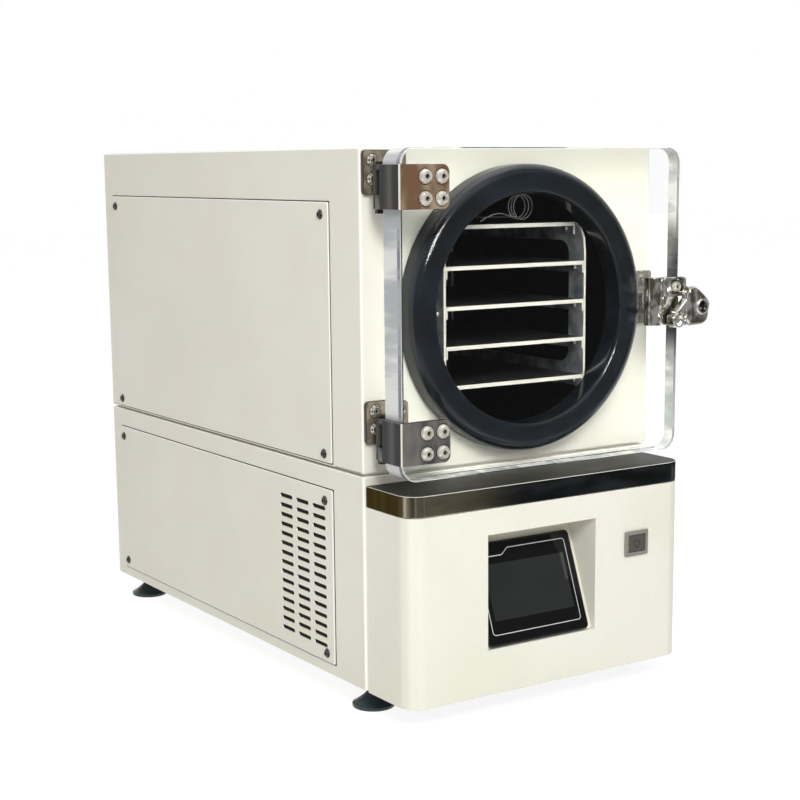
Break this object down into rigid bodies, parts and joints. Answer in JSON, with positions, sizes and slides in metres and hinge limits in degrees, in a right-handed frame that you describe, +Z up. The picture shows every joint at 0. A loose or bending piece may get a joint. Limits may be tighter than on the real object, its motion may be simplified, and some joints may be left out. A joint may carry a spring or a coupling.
{
  "type": "freeze dryer",
  "caption": "Bench freeze dryer with a shelf rack in a round chamber behind a thick clear hinged door, over a compressor base with a tilted touch panel.",
  "frame": {"origin": "on the bench, under the middle of the bounding box", "axes": "+Z up, -Y towards the door and touch panel, +X towards the latch side"},
  "size_m": [0.425, 0.8196, 0.635],
  "materials": {
    "cream_paint": "fine textured powder coat",
    "polished_stainless": "polished",
    "cast_chrome": "bright plated casting",
    "shelf_steel": "satin",
    "black_rubber": "smooth moulded",
    "black_plastic": "satin",
    "screen_film": "glossy film",
    "clear_acrylic": "clear, polished edges",
    "zinc_plate": "zinc plated",
    "black_paint": "satin enamel",
    "bare_aluminium": "mill finish",
    "copper": "drawn copper tube"
  },
  "bodies": {
    "cabinet": {"base_shell": "cream_paint", "upper_shell": "cream_paint", "left_base_panel": "cream_paint", "right_base_panel": "cream_paint", "left_upper_panel": "cream_paint", "right_upper_panel": "cream_paint", "rear_base_panel": "cream_paint", "rear_upper_panel": "cream_paint", "front_cover": "cream_paint", "stainless_sill": "polished_stainless", "chamber_vessel": "polished_stainless", "latch_keeper": "polished_stainless", "hinge_leaf_upper": "polished_stainless", "hinge_leaf_lower": "polished_stainless", "hinge_pin_upper": "polished_stainless", "hinge_pin_lower": "polished_stainless", "vacuum_fitting": "polished_stainless", "shelf_1": "shelf_steel", "shelf_2": "shelf_steel", "shelf_3": "shelf_steel", "shelf_4": "shelf_steel", "shelf_5": "shelf_steel", "rack_side_left": "shelf_steel", "rack_side_right": "shelf_steel", "door_gasket": "black_rubber", "foot_front_left": "black_plastic", "foot_front_right": "black_plastic", "foot_rear_left": "black_plastic", "foot_rear_right": "black_plastic", "touch_panel": "black_plastic", "power_inlet": "black_plastic", "touch_glass": "screen_film", "cradle_front": "zinc_plate", "cradle_rear": "zinc_plate", "control_box": "zinc_plate", "power_bezel": "zinc_plate", "compressor": "black_paint", "fan_shroud": "black_paint", "condenser": "bare_aluminium", "sensor_lead": "bare_aluminium", "discharge_line": "copper"},
    "door": {"door_panel": "clear_acrylic", "latch_housing": "cast_chrome", "door_bracket_upper": "polished_stainless", "door_bracket_lower": "polished_stainless"},
    "lever": {"latch_lever": "cast_chrome"},
    "button": {"power_button": "polished_stainless"},
    "fan": {"fan_rotor": "black_plastic"}
  },
  "joints": [
    {"name": "door_hinge", "type": "hinge", "parent": "cabinet", "child": "door", "pos_m": [-0.19545, -0.3262, 0.454], "axis": [0, 0, -1], "range_deg": [0, 100]},
    {"name": "lever_turn", "type": "hinge", "parent": "door", "child": "lever", "pos_m": [0.17805, -0.4012, 0.4395], "axis": [0, -1, 0], "range_deg": [0, 90]},
    {"name": "button_press", "type": "slide", "parent": "cabinet", "child": "button", "axis": [0, 1, 0], "range_m": [0, 0.0025], "stiffness_N_per_m": 600},
    {"name": "fan_spin", "type": "hinge", "parent": "cabinet", "child": "fan", "pos_m": [-0.11645, -0.1722, 0.144], "axis": [1, 0, 0], "continuous": true}
  ]
}
